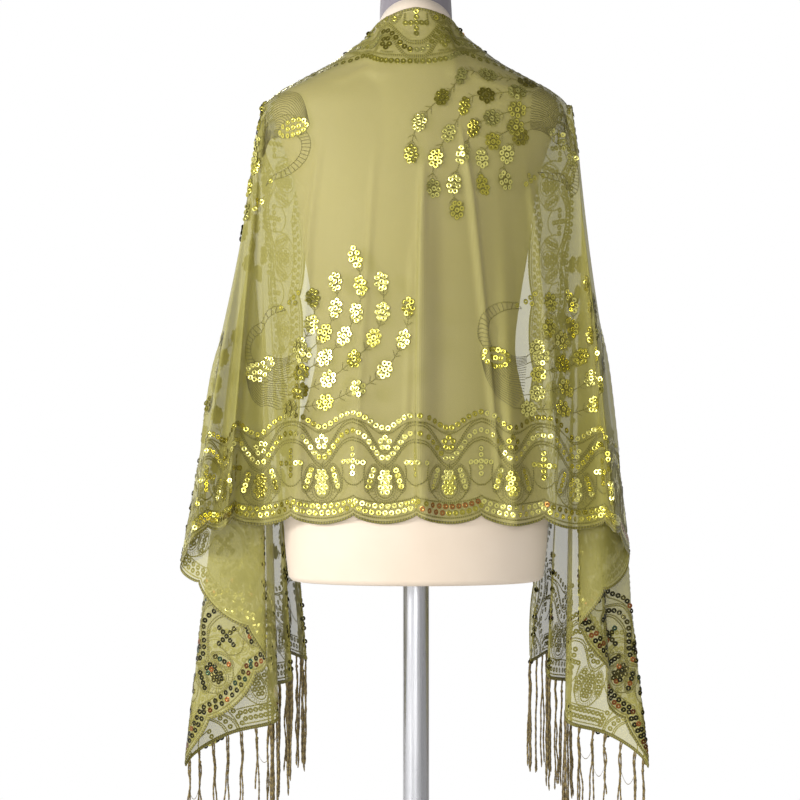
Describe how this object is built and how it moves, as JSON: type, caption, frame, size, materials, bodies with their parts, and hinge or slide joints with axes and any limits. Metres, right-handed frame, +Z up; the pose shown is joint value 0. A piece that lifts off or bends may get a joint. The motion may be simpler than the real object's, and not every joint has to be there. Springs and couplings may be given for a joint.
{
  "type": "evening stole on a dress form",
  "caption": "Sheer embroidered net stole with scalloped long edges and fringed ends, draped open over the shoulders of a limbless dress form on a pole stand.",
  "frame": {"origin": "on the floor, at the centre of the underside of the stand's round base", "axes": "+Z up; the wearer's front faces -Y and the back of the stole faces +Y; +X is the wearer's left"},
  "size_m": [0.6182, 0.38, 1.5553],
  "materials": {
    "olive_net": "sheer olive net, corded and set with pale gold ring sequins",
    "bronze_thread": "twisted bronze and olive thread",
    "form_cover": "matte ivory jersey cover with vertical seams",
    "neck_band": "matte grey fabric neck cover",
    "pole_metal": "satin steel",
    "base_paint": "off-white satin paint"
  },
  "bodies": {
    "root": {"form_torso": "form_cover", "form_neck": "neck_band", "form_pole": "pole_metal", "form_base": "base_paint", "stole_back": "olive_net", "stole_left": "olive_net", "stole_right": "olive_net", "fringe_left": "bronze_thread", "fringe_right": "bronze_thread"}
  },
  "joints": []
}
